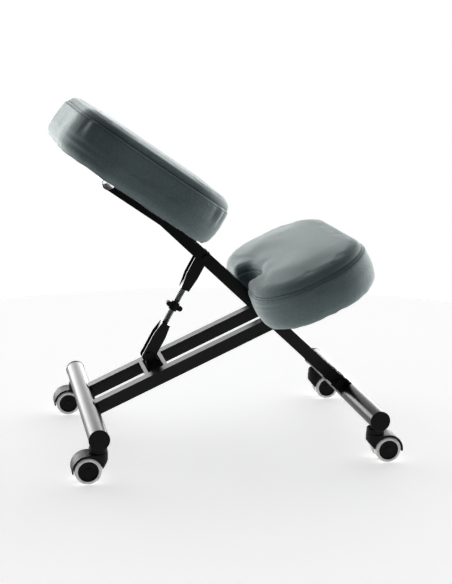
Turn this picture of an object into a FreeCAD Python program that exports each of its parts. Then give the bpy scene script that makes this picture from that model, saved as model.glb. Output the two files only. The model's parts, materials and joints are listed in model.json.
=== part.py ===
import FreeCAD, Part
import math
import os

# Kneeling chair: a sloping base frame carries the knee pad, a pair of legs crossing it carries the seat,
# and a screw strut between the two sets how far they open. Two crossbars stand on four casters.
# X points forward, Y to the sitter's left and Z up. The origin lies on the floor, midway between the crossbars.
# Sizes are in millimetres and slopes in degrees.

# Crossbars: round tubes along Y, closed by end caps.
crossbar_spacing = 533.4
crossbar_height = 85.6
crossbar_diameter = 38.0
crossbar_wall = 1.5
crossbar_length = 456.0
cap_overhang = 0.7
cap_head = 3.0
cap_edge_round = 1.4
cap_plug_depth = 14.0
cap_plug_wall = 2.0

# Square tube that both frames are made of.
bar_size = 25.0
bar_wall = 1.5

# Base frame: two parallel side beams that rise forward from the rear crossbar.
base_slope = 23.94
beam_length = 554.0
beam_inner_gap = 86.0
plug_head = 2.0
plug_depth = 16.0
plug_inset = 0.8

# Main frame: two legs side by side, rising to the rear from the front crossbar, with one bend under the seat.
leg_slope = 43.88
leg_inner_gap = 32.0
leg_lower_run = 529.7
leg_upper_run = 127.5
leg_bend_radius = 60.0
seat_slope = 35.0
top_tube_diameter = 26.5
top_tube_wall = 1.5

# Sockets on the front crossbar that hold the legs' lower ends.
socket_run = 44.0
socket_wall = 2.0
socket_bolt_run = 33.0
leg_start_gap = 4.0

# Frame pivot: one bolt through beams and legs where their centrelines cross.
pivot_bolt_radius = 5.0
pivot_spacer_radius = 9.0
pivot_washer_radius = 11.0

# Saddle between the side beams and the lug on it that carries the strut.
strut_foot_run = 151.75
strut_foot_height = 34.2
saddle_gap = 33.3
saddle_bar_width = 7.4
lug_width = 20.0
lug_sheet = 2.5
lug_eye_radius = 9.3
lug_foot_depth = 8.0

# Strut: two channel fittings, joined by a threaded rod with a hand knob.
strut_head_run = 416.6
fitting_width = 27.0
fitting_sheet = 2.5
fitting_half_depth = 12.5
fitting_tail = 13.0
fitting_tail_round = 8.0
fitting_straight = 45.0
fitting_web_start = 8.0
neck_web_side = 9.2
neck_open_side = 7.8
lower_fitting_run = 70.5
upper_fitting_run = 76.0
strut_bolt_radius = 4.0
strut_spacer_radius = 8.0
rod_radius = 6.25
nut_length = 16.0
nut_depth = 13.6
rod_end_reserve = 36.0
knob_run = 108.8
knob_hub_radius = 8.5
knob_hub_length = 18.0
knob_bar_length = 35.0
knob_bar_thickness = 11.0
thread_pitch = 3.5
thread_depth = 1.0

# Hexagonal heads and nuts, as multiples of the bolt's radius.
hex_half_width_share = 1.625
hex_height_share = 1.3
hex_overrun_share = 0.5

# Seat: mounting plate, board, under-cover and cushion, all parallel to the legs' upper run.
seat_rear = 263.3
seat_front = 73.0
seat_half_width = 222.0
seat_corner_radius = 96.0
seat_skirt_drop = 4.3
seat_side_height = 77.5
seat_crown = 17.7
seat_plate_thickness = 2.5
seat_plate_width = 150.0
seat_plate_gap = 8.0
seat_plate_corner = 12.0
seat_screw_inset = 15.0

# Knee pad: board, under-cover and cushion on the side beams, with a notch for the legs at the rear.
knee_rear_run = 371.5
knee_length = 243.0
knee_half_width = 222.0
knee_rear_radius = 105.0
knee_front_radius = 117.0
knee_side_height = 72.0
knee_crown = 20.0
notch_margin = 6.0
notch_depth = 54.0
notch_mouth_radius = 22.0
notch_end_radius = 30.0
notch_foam = 3.0
knee_screw_rear = 75.0
knee_screw_front = 140.0

# Upholstery details shared by both pads.
board_thickness = 12.0
board_inset = 20.0
cover_thickness = 0.8
skirt_inset = 10.0
side_bulge = 2.0
seam_inset = 3.0
dome_share = 0.3
screw_radius = 3.0
screw_head_radius = 6.0
screw_head_height = 2.6
screw_bite = 9.0

# Casters: twin wheels under a hood, each on a stem in a socket in the crossbar.
caster_end_inset = 25.0
wheel_diameter = 50.0
wheel_width = 15.6
wheel_gap = 12.0
hub_radius = 19.2
hub_dish_depth = 1.2
hub_dish_inner = 6.5
hub_dish_outer = 16.5
hub_face = 3.2
tyre_round = 3.0
caster_trail = 20.5
axle_radius = 3.0
stem_radius = 5.5
stem_length = 27.0
stem_seat = 16.0
stem_socket_radius = 7.5
hood_width = 40.0
hood_clearance = 1.5
hood_sheet = 3.0
hood_lip_angle = 188.0
hood_front_reach = 18.0
hood_front_height = 41.6
hood_throat_angle = 3.3
hood_web = 10.0
hood_hub_radius = 8.0
boss_radius = 17.2
boss_top_gap = 0.6
boss_edge_round = 2.0

# Clearances.
running_clearance = 0.05
thread_clearance = 0.08
assembly_clearance = 0.1
side_clearance = 0.3
open_pivot_clearance = 1.5
soft_clearance = 0.3

overshoot = 1.0


def vec(x, y, z):
    return FreeCAD.Vector(x, y, z)


def sloped_frame(origin, slope):
    """A placement whose X axis rises forward by the slope."""
    return FreeCAD.Placement(origin, FreeCAD.Rotation(vec(0, 1, 0), -slope))


def placed(shape, frame):
    """A copy of a shape, carried from its own axes into a frame."""
    result = shape.copy()
    result.Placement = frame.multiply(shape.Placement)
    return result


def box(x_min, x_max, y_min, y_max, z_min, z_max):
    return Part.makeBox(x_max - x_min, y_max - y_min, z_max - z_min, vec(x_min, y_min, z_min))


def cross_cylinder(radius, x, z, y_min, y_max):
    """A cylinder along Y."""
    return Part.makeCylinder(radius, y_max - y_min, vec(x, y_min, z), vec(0, 1, 0))


def rounded_wire(corners, plane):
    """A closed wire of lines and arcs through corners (u, v, radius), where plane(u, v) gives the point."""
    points = [FreeCAD.Vector(u, v, 0) for u, v, radius in corners]
    edges = []
    starts = []
    ends = []
    arcs = []
    for index, corner in enumerate(points):
        radius = corners[index][2]
        before = points[index - 1] - corner
        after = points[(index + 1) % len(points)] - corner
        before.normalize()
        after.normalize()
        half_angle = math.acos(max(-1.0, min(1.0, before.dot(after)))) / 2
        reach = radius / math.tan(half_angle)
        middle = before + after
        middle.normalize()
        depth = radius / math.sin(half_angle) - radius
        starts.append(corner + before * reach)
        ends.append(corner + after * reach)
        arcs.append(corner + middle * depth)
    for index, corner in enumerate(corners):
        following = (index + 1) % len(corners)
        if corner[2] > 0:
            arc_points = [plane(p.x, p.y) for p in (starts[index], arcs[index], ends[index])]
            edges.append(Part.Arc(*arc_points).toShape())
        edges.append(Part.LineSegment(plane(ends[index].x, ends[index].y),
                                      plane(starts[following].x, starts[following].y)).toShape())
    return Part.Wire(edges)


def side_profile(corners, y_min, y_max):
    """A profile in the XZ plane, with a radius at each corner, extruded along Y."""
    wire = rounded_wire(corners, lambda u, v: vec(u, y_min, v))
    return Part.Face(wire).extrude(vec(0, y_max - y_min, 0))


def plan_profile(corners, z_min, z_max):
    """A profile in the XY plane, with a radius at each corner, extruded along Z."""
    wire = rounded_wire(corners, lambda u, v: vec(u, v, z_min))
    return Part.Face(wire).extrude(vec(0, 0, z_max - z_min))


def turned(points, base):
    """A solid of revolution about Y through the base point, from (radius, y) points."""
    corners = [vec(base.x + radius, y, base.z) for radius, y in points]
    face = Part.Face(Part.makePolygon(corners + corners[:1]))
    return face.revolve(vec(base.x, 0, base.z), vec(0, 1, 0), 360)


def mirrored_in_y(shape):
    return shape.mirror(vec(0, 0, 0), vec(0, 1, 0))


def both_sides(shape):
    """The shape and its mirror image across the chair's middle plane, as separate solids."""
    return Part.makeCompound([shape, mirrored_in_y(shape)])


def hexagon(half_width, x, z, y_min, y_max):
    """A hexagonal prism along Y."""
    corner_radius = half_width / math.cos(math.pi / 6)
    corners = []
    for step in range(6):
        angle = math.pi / 3 * step
        corners.append((x + corner_radius * math.cos(angle), z + corner_radius * math.sin(angle), 0))
    return side_profile(corners, y_min, y_max)


def bolt_and_nut(radius, x, z, head_face, nut_face):
    """A hexagon bolt along Y with its head below head_face, and the nut above nut_face."""
    half_width = radius * hex_half_width_share
    height = radius * hex_height_share
    tip = nut_face + height + radius * hex_overrun_share
    head = hexagon(half_width, x, z, head_face - height, head_face)
    bolt = head.fuse(cross_cylinder(radius, x, z, head_face - height / 2, tip)).removeSplitter()
    nut = hexagon(half_width, x, z, nut_face, nut_face + height)
    nut = nut.cut(cross_cylinder(radius + running_clearance, x, z, nut_face - overshoot, tip + overshoot))
    return Part.makeCompound([bolt, nut])


def ring(outer, inner, x, z, y_min, y_max):
    """A washer, spacer or tube along Y."""
    hole = cross_cylinder(inner, x, z, y_min - overshoot, y_max + overshoot)
    return cross_cylinder(outer, x, z, y_min, y_max).cut(hole)


# Places that the sizes lead to.
half_spacing = crossbar_spacing / 2
tube_radius = crossbar_diameter / 2
caster_half_track = crossbar_length / 2 - caster_end_inset
bar_half = bar_size / 2
rear_tube = vec(-half_spacing, 0, crossbar_height)
front_tube = vec(half_spacing, 0, crossbar_height)
base_frame = sloped_frame(rear_tube, base_slope)
leg_frame = sloped_frame(front_tube, -leg_slope)
seat_frame = sloped_frame(leg_frame.multVec(vec(-leg_lower_run, 0, 0)), -seat_slope)
beam_inner = beam_inner_gap / 2
beam_outer = beam_inner + bar_size
leg_inner = leg_inner_gap / 2
leg_outer = leg_inner + bar_size
crossing_sine = math.sin(math.radians(base_slope + leg_slope))
pivot_on_beam = crossbar_spacing * math.sin(math.radians(leg_slope)) / crossing_sine
pivot_on_leg = crossbar_spacing * math.sin(math.radians(base_slope)) / crossing_sine
strut_foot = base_frame.multVec(vec(strut_foot_run, 0, strut_foot_height))
strut_head = leg_frame.multVec(vec(-strut_head_run, 0, 0))
strut_line = strut_head - strut_foot
strut_length = strut_line.Length
strut_slope = math.degrees(math.atan2(strut_line.z, strut_line.x))
lower_frame = sloped_frame(strut_foot, strut_slope)
half_turn = FreeCAD.Rotation(vec(0, 0, 1), 180)
upper_frame = FreeCAD.Placement(strut_head, lower_frame.Rotation.multiply(half_turn))
fitting_half = fitting_width / 2
fitting_inside = fitting_half - fitting_sheet


def crossbar(centre):
    """A crossbar's tube, with holes in its underside for the casters' sockets."""
    half_length = crossbar_length / 2
    tube = ring(tube_radius, tube_radius - crossbar_wall, centre.x, centre.z, -half_length, half_length)
    for side in (-1, 1):
        hole = Part.makeCylinder(stem_socket_radius, tube_radius, vec(centre.x, side * caster_half_track, 0))
        hole.translate(vec(0, 0, centre.z - tube_radius - overshoot))
        tube = tube.cut(hole)
    return tube


def end_caps(centre):
    """Domed-edge plastic caps in both ends of a crossbar, with hollow plugs."""
    face = crossbar_length / 2
    head_radius = tube_radius + cap_overhang
    plug_radius = tube_radius - crossbar_wall - assembly_clearance
    bore_radius = plug_radius - cap_plug_wall
    head = cross_cylinder(head_radius, centre.x, centre.z, face, face + cap_head)
    rim = [edge for edge in head.Edges if edge.Closed and edge.BoundBox.YMin > face + cap_head / 2]
    head = head.makeFillet(cap_edge_round, rim)
    plug = ring(plug_radius, bore_radius, centre.x, centre.z, face - cap_plug_depth, face)
    return both_sides(head.fuse(plug))


def stem_sockets(centre):
    """Sleeves for the casters' stems, let into the crossbar's underside and reaching its inner top."""
    bottom = centre.z - tube_radius
    sockets = []
    for side in (-1, 1):
        base = vec(centre.x, side * caster_half_track, bottom)
        sleeve = Part.makeCylinder(stem_socket_radius, crossbar_diameter, base)
        sleeve = sleeve.common(cross_cylinder(tube_radius - crossbar_wall, centre.x, centre.z,
                                              base.y - tube_radius, base.y + tube_radius)
                               .fuse(Part.makeCylinder(stem_socket_radius, tube_radius, base)))
        bore = Part.makeCylinder(stem_radius + running_clearance, stem_length + assembly_clearance, base)
        sockets.append(sleeve.cut(bore))
    return Part.makeCompound(sockets)


def side_beam(side):
    """A side beam, coped on the rear crossbar, with holes for the pivot bolt and the knee pad's screws."""
    y_min = beam_inner if side > 0 else -beam_outer
    y_max = y_min + bar_size
    beam = box(0, beam_length, y_min, y_max, -bar_half, bar_half)
    bore = box(-overshoot, beam_length + overshoot, y_min + bar_wall, y_max - bar_wall,
               bar_wall - bar_half, bar_half - bar_wall)
    beam = beam.cut(bore)
    beam = beam.cut(cross_cylinder(tube_radius, 0, 0, y_min - overshoot, y_max + overshoot))
    beam = beam.cut(cross_cylinder(pivot_bolt_radius, pivot_on_beam, 0, y_min - overshoot, y_max + overshoot))
    for run in (knee_screw_rear, knee_screw_front):
        hole = Part.makeCylinder(screw_radius + assembly_clearance, bar_size + 2 * overshoot,
                                 vec(knee_rear_run + run, (y_min + y_max) / 2, -bar_half - overshoot))
        beam = beam.cut(hole)
    return placed(beam, base_frame)


def beam_plugs():
    """Plastic plugs in the side beams' front ends."""
    inner = bar_half - bar_wall - assembly_clearance
    middle = (beam_inner + beam_outer) / 2
    half_head = bar_half - plug_inset
    head = box(beam_length, beam_length + plug_head, middle - half_head, middle + half_head,
               -half_head, half_head)
    shank = box(beam_length - plug_depth, beam_length, middle - inner, middle + inner, -inner, inner)
    return placed(both_sides(head.fuse(shank).removeSplitter()), base_frame)


def saddle_bars():
    """Two flat bars across the side beams, flush with the beams' top faces."""
    first = saddle_gap / 2
    second = first + saddle_bar_width
    rear = box(strut_foot_run - second, strut_foot_run - first, -beam_inner, beam_inner, -bar_half, bar_half)
    front = box(strut_foot_run + first, strut_foot_run + second, -beam_inner, beam_inner, -bar_half, bar_half)
    return placed(Part.makeCompound([rear, front]), base_frame)


def strut_lug():
    """Folded lug welded between the saddle bars: a foot plate and two tapering cheeks with the strut's eye."""
    half = saddle_gap / 2
    outer = lug_width / 2
    eye = lug_eye_radius
    top = strut_foot_height + eye
    shoulder = -lug_foot_depth + saddle_gap / 3
    corners = [(strut_foot_run - half, -lug_foot_depth, 0),
               (strut_foot_run + half, -lug_foot_depth, 0),
               (strut_foot_run + half, shoulder, 0),
               (strut_foot_run + eye, strut_foot_height - eye / 2, 0),
               (strut_foot_run + eye, top, eye * 0.98),
               (strut_foot_run - eye, top, eye * 0.98),
               (strut_foot_run - eye, strut_foot_height - eye / 2, 0),
               (strut_foot_run - half, shoulder, 0)]
    lug = side_profile(corners, -outer, outer)
    channel = box(strut_foot_run - half - overshoot, strut_foot_run + half + overshoot,
                  lug_sheet - outer, outer - lug_sheet, lug_sheet - lug_foot_depth, top + overshoot)
    lug = lug.cut(channel)
    hole = cross_cylinder(strut_bolt_radius, strut_foot_run, strut_foot_height, -outer - 1, outer + 1)
    return placed(lug.cut(hole), base_frame)


def frame_pivot_bolt():
    bolt = bolt_and_nut(pivot_bolt_radius, pivot_on_beam, 0, -beam_outer, beam_outer)
    return placed(bolt, base_frame)


def frame_pivot_washers():
    """Sliding washers between the side beams and the legs."""
    inner_face = leg_outer + running_clearance * 2
    washer = ring(pivot_washer_radius, pivot_bolt_radius, pivot_on_beam, 0, inner_face, beam_inner)
    return placed(both_sides(washer), base_frame)


def frame_pivot_spacer():
    """Spacer tube on the pivot bolt, between the legs."""
    spacer = ring(pivot_spacer_radius, pivot_bolt_radius + running_clearance, -pivot_on_leg, 0,
                  -leg_inner, leg_inner)
    return placed(spacer, leg_frame)


def leg_path():
    """The leg's centreline from inside its socket to the top tube, with an arc at the bend."""
    start = vec(-(tube_radius + leg_start_gap), 0, 0)
    bend = vec(-leg_lower_run, 0, 0)
    turn = math.radians(leg_slope - seat_slope)
    tangent = leg_bend_radius * math.tan(turn / 2)
    upward = vec(-math.cos(turn), 0, -math.sin(turn))
    arc_start = bend + vec(tangent, 0, 0)
    arc_end = bend + upward * tangent
    toward_centre = (arc_start + arc_end) * 0.5 - bend
    toward_centre.normalize()
    arc_depth = leg_bend_radius / math.cos(turn / 2) - leg_bend_radius
    arc_middle = bend + toward_centre * arc_depth
    end = bend + upward * leg_upper_run
    edges = [Part.LineSegment(start, arc_start).toShape(),
             Part.Arc(arc_start, arc_middle, arc_end).toShape(),
             Part.LineSegment(arc_end, end).toShape()]
    return Part.Wire(edges), start


def square_sweep(half_size, middle):
    """A square section swept along the leg's centreline."""
    path, start = leg_path()
    corners = [vec(start.x, -half_size, -half_size), vec(start.x, half_size, -half_size),
               vec(start.x, half_size, half_size), vec(start.x, -half_size, half_size)]
    section = Part.makePolygon(corners + corners[:1])
    bar = path.makePipeShell([section], True, False)
    bar.translate(vec(0, middle, 0))
    return bar


def main_leg(side):
    """A leg of the main frame: square tube with one bend, coped on the top tube."""
    middle = side * (leg_inner + bar_half)
    leg = square_sweep(bar_half, middle).cut(square_sweep(bar_half - bar_wall, middle))
    y_min = middle - bar_size
    y_max = middle + bar_size
    leg = leg.cut(cross_cylinder(pivot_bolt_radius + running_clearance, -pivot_on_leg, 0, y_min, y_max))
    leg = leg.cut(cross_cylinder(strut_bolt_radius, -strut_head_run, 0, y_min, y_max))
    leg = leg.cut(cross_cylinder(strut_bolt_radius, -socket_bolt_run, 0, y_min, y_max))
    leg = placed(leg, leg_frame)
    cope = placed(cross_cylinder(top_tube_diameter / 2, -leg_upper_run, 0, y_min, y_max), seat_frame)
    return leg.cut(cope)


def top_cross_tube():
    """Short round tube across the legs' upper ends, open at both sides."""
    outer = top_tube_diameter / 2
    tube = ring(outer, outer - top_tube_wall, -leg_upper_run, 0, -leg_outer, leg_outer)
    return placed(tube, seat_frame)


def leg_sockets():
    """Square sleeves, coped on the front crossbar, that hold the legs' lower ends."""
    inner = bar_half + assembly_clearance
    outer = inner + socket_wall
    middle = leg_inner + bar_half
    sleeve = box(-socket_run, 0, middle - outer, middle + outer, -outer, outer)
    bore = box(-socket_run - overshoot, overshoot, middle - inner, middle + inner, -inner, inner)
    sleeve = sleeve.cut(bore)
    sleeve = sleeve.cut(cross_cylinder(tube_radius, 0, 0, middle - bar_size, middle + bar_size))
    sleeve = sleeve.cut(cross_cylinder(strut_bolt_radius, -socket_bolt_run, 0, middle - bar_size, middle + bar_size))
    return placed(both_sides(sleeve), leg_frame)


def socket_bolt():
    outer = leg_outer + assembly_clearance + socket_wall
    return placed(bolt_and_nut(strut_bolt_radius, -socket_bolt_run, 0, -outer, outer), leg_frame)


def lower_pivot_bolt():
    """Bolt of the strut's foot, held in the lug's eye."""
    face = fitting_half + side_clearance
    bolt = bolt_and_nut(strut_bolt_radius, strut_foot_run, strut_foot_height, -face, face)
    return placed(bolt, base_frame)


def upper_pivot_bolt():
    """Bolt of the strut's head through both legs, with spacer rings beside the fitting."""
    bolt = bolt_and_nut(strut_bolt_radius, -strut_head_run, 0, -leg_outer, leg_outer)
    spacer = ring(strut_spacer_radius, strut_bolt_radius + running_clearance, -strut_head_run, 0,
                  fitting_half + side_clearance, leg_inner)
    solids = bolt.Solids + both_sides(spacer).Solids
    return placed(Part.makeCompound(solids), leg_frame)


def strut_fitting(run, hole_radius):
    """A channel fitting: pivot at its rounded tail, tapering towards the neck that holds the rod.

    X runs from the pivot to the neck and the channel's open side faces +Z.
    """
    depth = fitting_half_depth
    sheet = fitting_sheet
    walls = side_profile([(-fitting_tail, -depth, fitting_tail_round),
                          (fitting_straight, -depth, 0),
                          (run, -neck_web_side, 0),
                          (run, neck_open_side, 0),
                          (fitting_straight, depth, 0),
                          (-fitting_tail, depth, fitting_tail_round)], -fitting_half, fitting_half)
    web_rise = (depth - neck_web_side) / (run - fitting_straight)
    far = run + overshoot
    hollow = side_profile([(-fitting_tail - overshoot, -depth - overshoot, 0),
                           (fitting_web_start, -depth - overshoot, 0),
                           (fitting_web_start, sheet - depth, 0),
                           (fitting_straight, sheet - depth, 0),
                           (far, sheet - neck_web_side + web_rise * overshoot, 0),
                           (far, depth + overshoot, 0),
                           (-fitting_tail - overshoot, depth + overshoot, 0)], -fitting_inside, fitting_inside)
    hole = cross_cylinder(hole_radius, 0, 0, -fitting_width, fitting_width)
    return walls.cut(hollow).cut(hole)


def lower_fitting():
    shape = strut_fitting(lower_fitting_run, strut_bolt_radius + running_clearance)
    return placed(shape, lower_frame)


def upper_fitting():
    """The open pivot: its hole leaves the bolt room for the strut's small sideways error."""
    shape = strut_fitting(upper_fitting_run, strut_bolt_radius + open_pivot_clearance)
    return placed(shape, upper_frame)


def neck_nut(run):
    """A threaded block welded between a fitting's walls at its neck."""
    half = nut_depth / 2
    middle = (neck_open_side - neck_web_side + fitting_sheet) / 2
    block = box(run - nut_length, run, -fitting_inside, fitting_inside, middle - half, middle + half)
    bore = Part.makeCylinder(rod_radius + thread_clearance, nut_length + 2 * overshoot,
                             vec(run - nut_length - overshoot, 0, 0), vec(1, 0, 0))
    return block.cut(bore)


def lower_nut():
    return placed(neck_nut(lower_fitting_run), lower_frame)


def upper_nut():
    return placed(neck_nut(upper_fitting_run), upper_frame)


def thread_profile(start, end):
    """Points (x, radius) of a thread from start to end, as even grooves."""
    turns = max(1, round((end - start) / thread_pitch))
    pitch = (end - start) / turns
    points = []
    for turn in range(turns):
        points.append((start + turn * pitch, rod_radius))
        points.append((start + (turn + 0.5) * pitch, rod_radius - thread_depth))
    points.append((end, rod_radius))
    return points


def threaded_rod():
    """Turnbuckle spindle: threaded towards both fittings, plain where the knob sits."""
    bottom = rod_end_reserve
    top = strut_length - rod_end_reserve
    half_hub = knob_hub_length / 2
    root = rod_radius - thread_depth
    profile = [(bottom, 0), (bottom, root)]
    profile += thread_profile(bottom + thread_depth, knob_run - half_hub)
    profile += thread_profile(knob_run + half_hub, top - thread_depth)
    profile += [(top, root), (top, 0)]
    points = [vec(x, 0, radius) for x, radius in profile]
    face = Part.Face(Part.makePolygon(points + points[:1]))
    return placed(face.revolve(vec(0, 0, 0), vec(1, 0, 0), 360), lower_frame)


def knob():
    """Hand knob: a round hub on the rod with a cross bar of rounded ends."""
    start = knob_run - knob_hub_length / 2
    hub = Part.makeCylinder(knob_hub_radius, knob_hub_length, vec(start, 0, 0), vec(1, 0, 0))
    half_bar = knob_bar_length / 2
    half_thickness = knob_bar_thickness / 2
    round_end = half_thickness * 0.98
    bar = side_profile([(knob_run - half_thickness, -half_bar, round_end),
                        (knob_run + half_thickness, -half_bar, round_end),
                        (knob_run + half_thickness, half_bar, round_end),
                        (knob_run - half_thickness, half_bar, round_end)], -half_thickness, half_thickness)
    bore = Part.makeCylinder(rod_radius + running_clearance, knob_hub_length + 2 * overshoot,
                             vec(start - overshoot, 0, 0), vec(1, 0, 0))
    return placed(hub.fuse(bar).cut(bore), lower_frame)


def seat_corners(inset):
    """Corners of the seat's outline in plan, drawn in by the inset."""
    radius = seat_corner_radius - inset
    rear = inset - seat_rear
    front = seat_front - inset
    half = seat_half_width - inset
    return [(rear, -half, radius), (front, -half, radius), (front, half, radius), (rear, half, radius)]


def knee_corners(inset, notch_inset=None):
    """Corners of the knee pad's outline in plan, drawn in by the inset, with the notch at the rear."""
    notch_shift = inset if notch_inset is None else notch_inset
    rear = knee_rear_run + inset
    front = knee_rear_run + knee_length - inset
    half = knee_half_width - inset
    notch_half = leg_outer + notch_margin + notch_shift
    notch_end = knee_rear_run + notch_depth + notch_shift
    mouth = max(notch_mouth_radius - inset, overshoot)
    end_radius = notch_end_radius + notch_shift - max(0, inset - notch_shift)
    front_radius = knee_front_radius - inset
    rear_radius = knee_rear_radius - inset
    return [(front, -half, front_radius), (front, half, front_radius), (rear, half, rear_radius),
            (rear, notch_half, mouth), (notch_end, notch_half, end_radius),
            (notch_end, -notch_half, end_radius), (rear, -notch_half, mouth), (rear, -half, rear_radius)]


def lofted(corner_function, stations):
    """A smooth solid through outlines at (inset, height) stations."""
    wires = []
    for inset, height in stations:
        wires.append(rounded_wire(corner_function(inset), lambda u, v, z=height: vec(u, v, z)))
    return Part.makeLoft(wires, True, False)


def cushion(corner_function, pocket_corners, bottom, side_height, crown, board_top, middle, half_width):
    """A foam pad: drawn-in skirt, slightly bulging sides up to the seam, and a crowned top."""
    seam = bottom + side_height
    sides = lofted(corner_function, [(skirt_inset, bottom),
                                     (skirt_inset * 0.35, bottom + side_height * 0.08),
                                     (0, bottom + side_height * 0.2),
                                     (-side_bulge, bottom + side_height * 0.5),
                                     (0, bottom + side_height * 0.87),
                                     (seam_inset, seam)])
    top = lofted(corner_function, [(seam_inset, seam),
                                   (seam_inset * 2, seam + crown * 0.42),
                                   (seam_inset * 4, seam + crown * 0.75),
                                   (seam_inset * 6, seam + crown)])
    drop = crown * dome_share
    dome_radius = half_width * half_width / (2 * drop)
    dome = Part.makeSphere(dome_radius, vec(middle, 0, seam + crown - dome_radius))
    pad = sides.fuse(top.common(dome)).removeSplitter()
    pocket = plan_profile(pocket_corners, bottom - overshoot, board_top)
    return pad.cut(pocket)


def pan_screw(x, y, head_top, tip):
    """A pan-head screw pointing up, its head under the height head_top."""
    head = Part.makeCylinder(screw_head_radius, screw_head_height, vec(x, y, head_top - screw_head_height))
    rim = [edge for edge in head.Edges if edge.Closed and edge.BoundBox.ZMax < head_top - screw_head_height / 2]
    head = head.makeFillet(screw_head_height / 2, rim)
    shank = Part.makeCylinder(screw_radius, tip - head_top + screw_head_height / 4,
                              vec(x, y, head_top - screw_head_height / 4))
    return head.fuse(shank).removeSplitter()


def screw_holes(places, z_min, z_max):
    """Cutters for the screws at (x, y) places."""
    radius = screw_radius + assembly_clearance
    return Part.makeCompound([Part.makeCylinder(radius, z_max - z_min, vec(x, y, z_min)) for x, y in places])


seat_plate_top = bar_half + seat_plate_thickness
seat_board_bottom = seat_plate_top + cover_thickness
seat_board_top = seat_board_bottom + board_thickness
seat_plate_front = -seat_plate_gap
seat_plate_rear = top_tube_diameter / 2 - leg_upper_run
seat_screw_places = [(x, side * (seat_plate_width / 2 - seat_screw_inset))
                     for x in (seat_plate_rear + seat_screw_inset, seat_plate_front - seat_screw_inset)
                     for side in (-1, 1)]
knee_board_bottom = bar_half + cover_thickness
knee_board_top = knee_board_bottom + board_thickness
knee_screw_places = [(knee_rear_run + run, side * (beam_inner + bar_half))
                     for run in (knee_screw_rear, knee_screw_front) for side in (-1, 1)]


def seat_mount_plate():
    """Steel plate welded on the legs' upper run, screwed to the seat board."""
    half = seat_plate_width / 2
    corners = [(seat_plate_rear, -half, seat_plate_corner), (seat_plate_front, -half, seat_plate_corner),
               (seat_plate_front, half, seat_plate_corner), (seat_plate_rear, half, seat_plate_corner)]
    plate = plan_profile(corners, bar_half, seat_plate_top)
    return placed(plate.cut(screw_holes(seat_screw_places, 0, seat_board_top)), seat_frame)


def seat_under_cover():
    sheet = plan_profile(seat_corners(board_inset), seat_plate_top, seat_board_bottom)
    return placed(sheet.cut(screw_holes(seat_screw_places, 0, seat_board_top)), seat_frame)


def seat_board():
    board = plan_profile(seat_corners(board_inset), seat_board_bottom, seat_board_top)
    holes = screw_holes(seat_screw_places, 0, seat_board_bottom + screw_bite + assembly_clearance)
    return placed(board.cut(holes), seat_frame)


def seat_screws():
    tip = seat_board_bottom + screw_bite
    screws = [pan_screw(x, y, bar_half, tip) for x, y in seat_screw_places]
    return placed(Part.makeCompound(screws), seat_frame)


def seat_cushion():
    middle = (seat_front - seat_rear) / 2
    pad = cushion(seat_corners, seat_corners(board_inset - soft_clearance), bar_half - seat_skirt_drop,
                  seat_side_height, seat_crown, seat_board_top, middle, seat_half_width)
    return placed(pad, seat_frame)


def knee_board_corners(clearance):
    return knee_corners(board_inset - clearance, notch_foam - clearance)


def knee_under_cover():
    sheet = plan_profile(knee_board_corners(0), bar_half, knee_board_bottom)
    return placed(sheet.cut(screw_holes(knee_screw_places, 0, knee_board_top)), base_frame)


def knee_board():
    board = plan_profile(knee_board_corners(0), knee_board_bottom, knee_board_top)
    holes = screw_holes(knee_screw_places, 0, knee_board_bottom + screw_bite + assembly_clearance)
    return placed(board.cut(holes), base_frame)


def knee_screws():
    tip = knee_board_bottom + screw_bite
    screws = [pan_screw(x, y, -bar_half, tip) for x, y in knee_screw_places]
    return placed(Part.makeCompound(screws), base_frame)


def knee_cushion():
    middle = knee_rear_run + knee_length / 2
    pad = cushion(knee_corners, knee_board_corners(soft_clearance), bar_half + soft_clearance,
                  knee_side_height, knee_crown, knee_board_top, middle, knee_half_width)
    return placed(pad, base_frame)


wheel_radius = wheel_diameter / 2
wheel_inner = wheel_gap / 2
wheel_outer = wheel_inner + wheel_width


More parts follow.
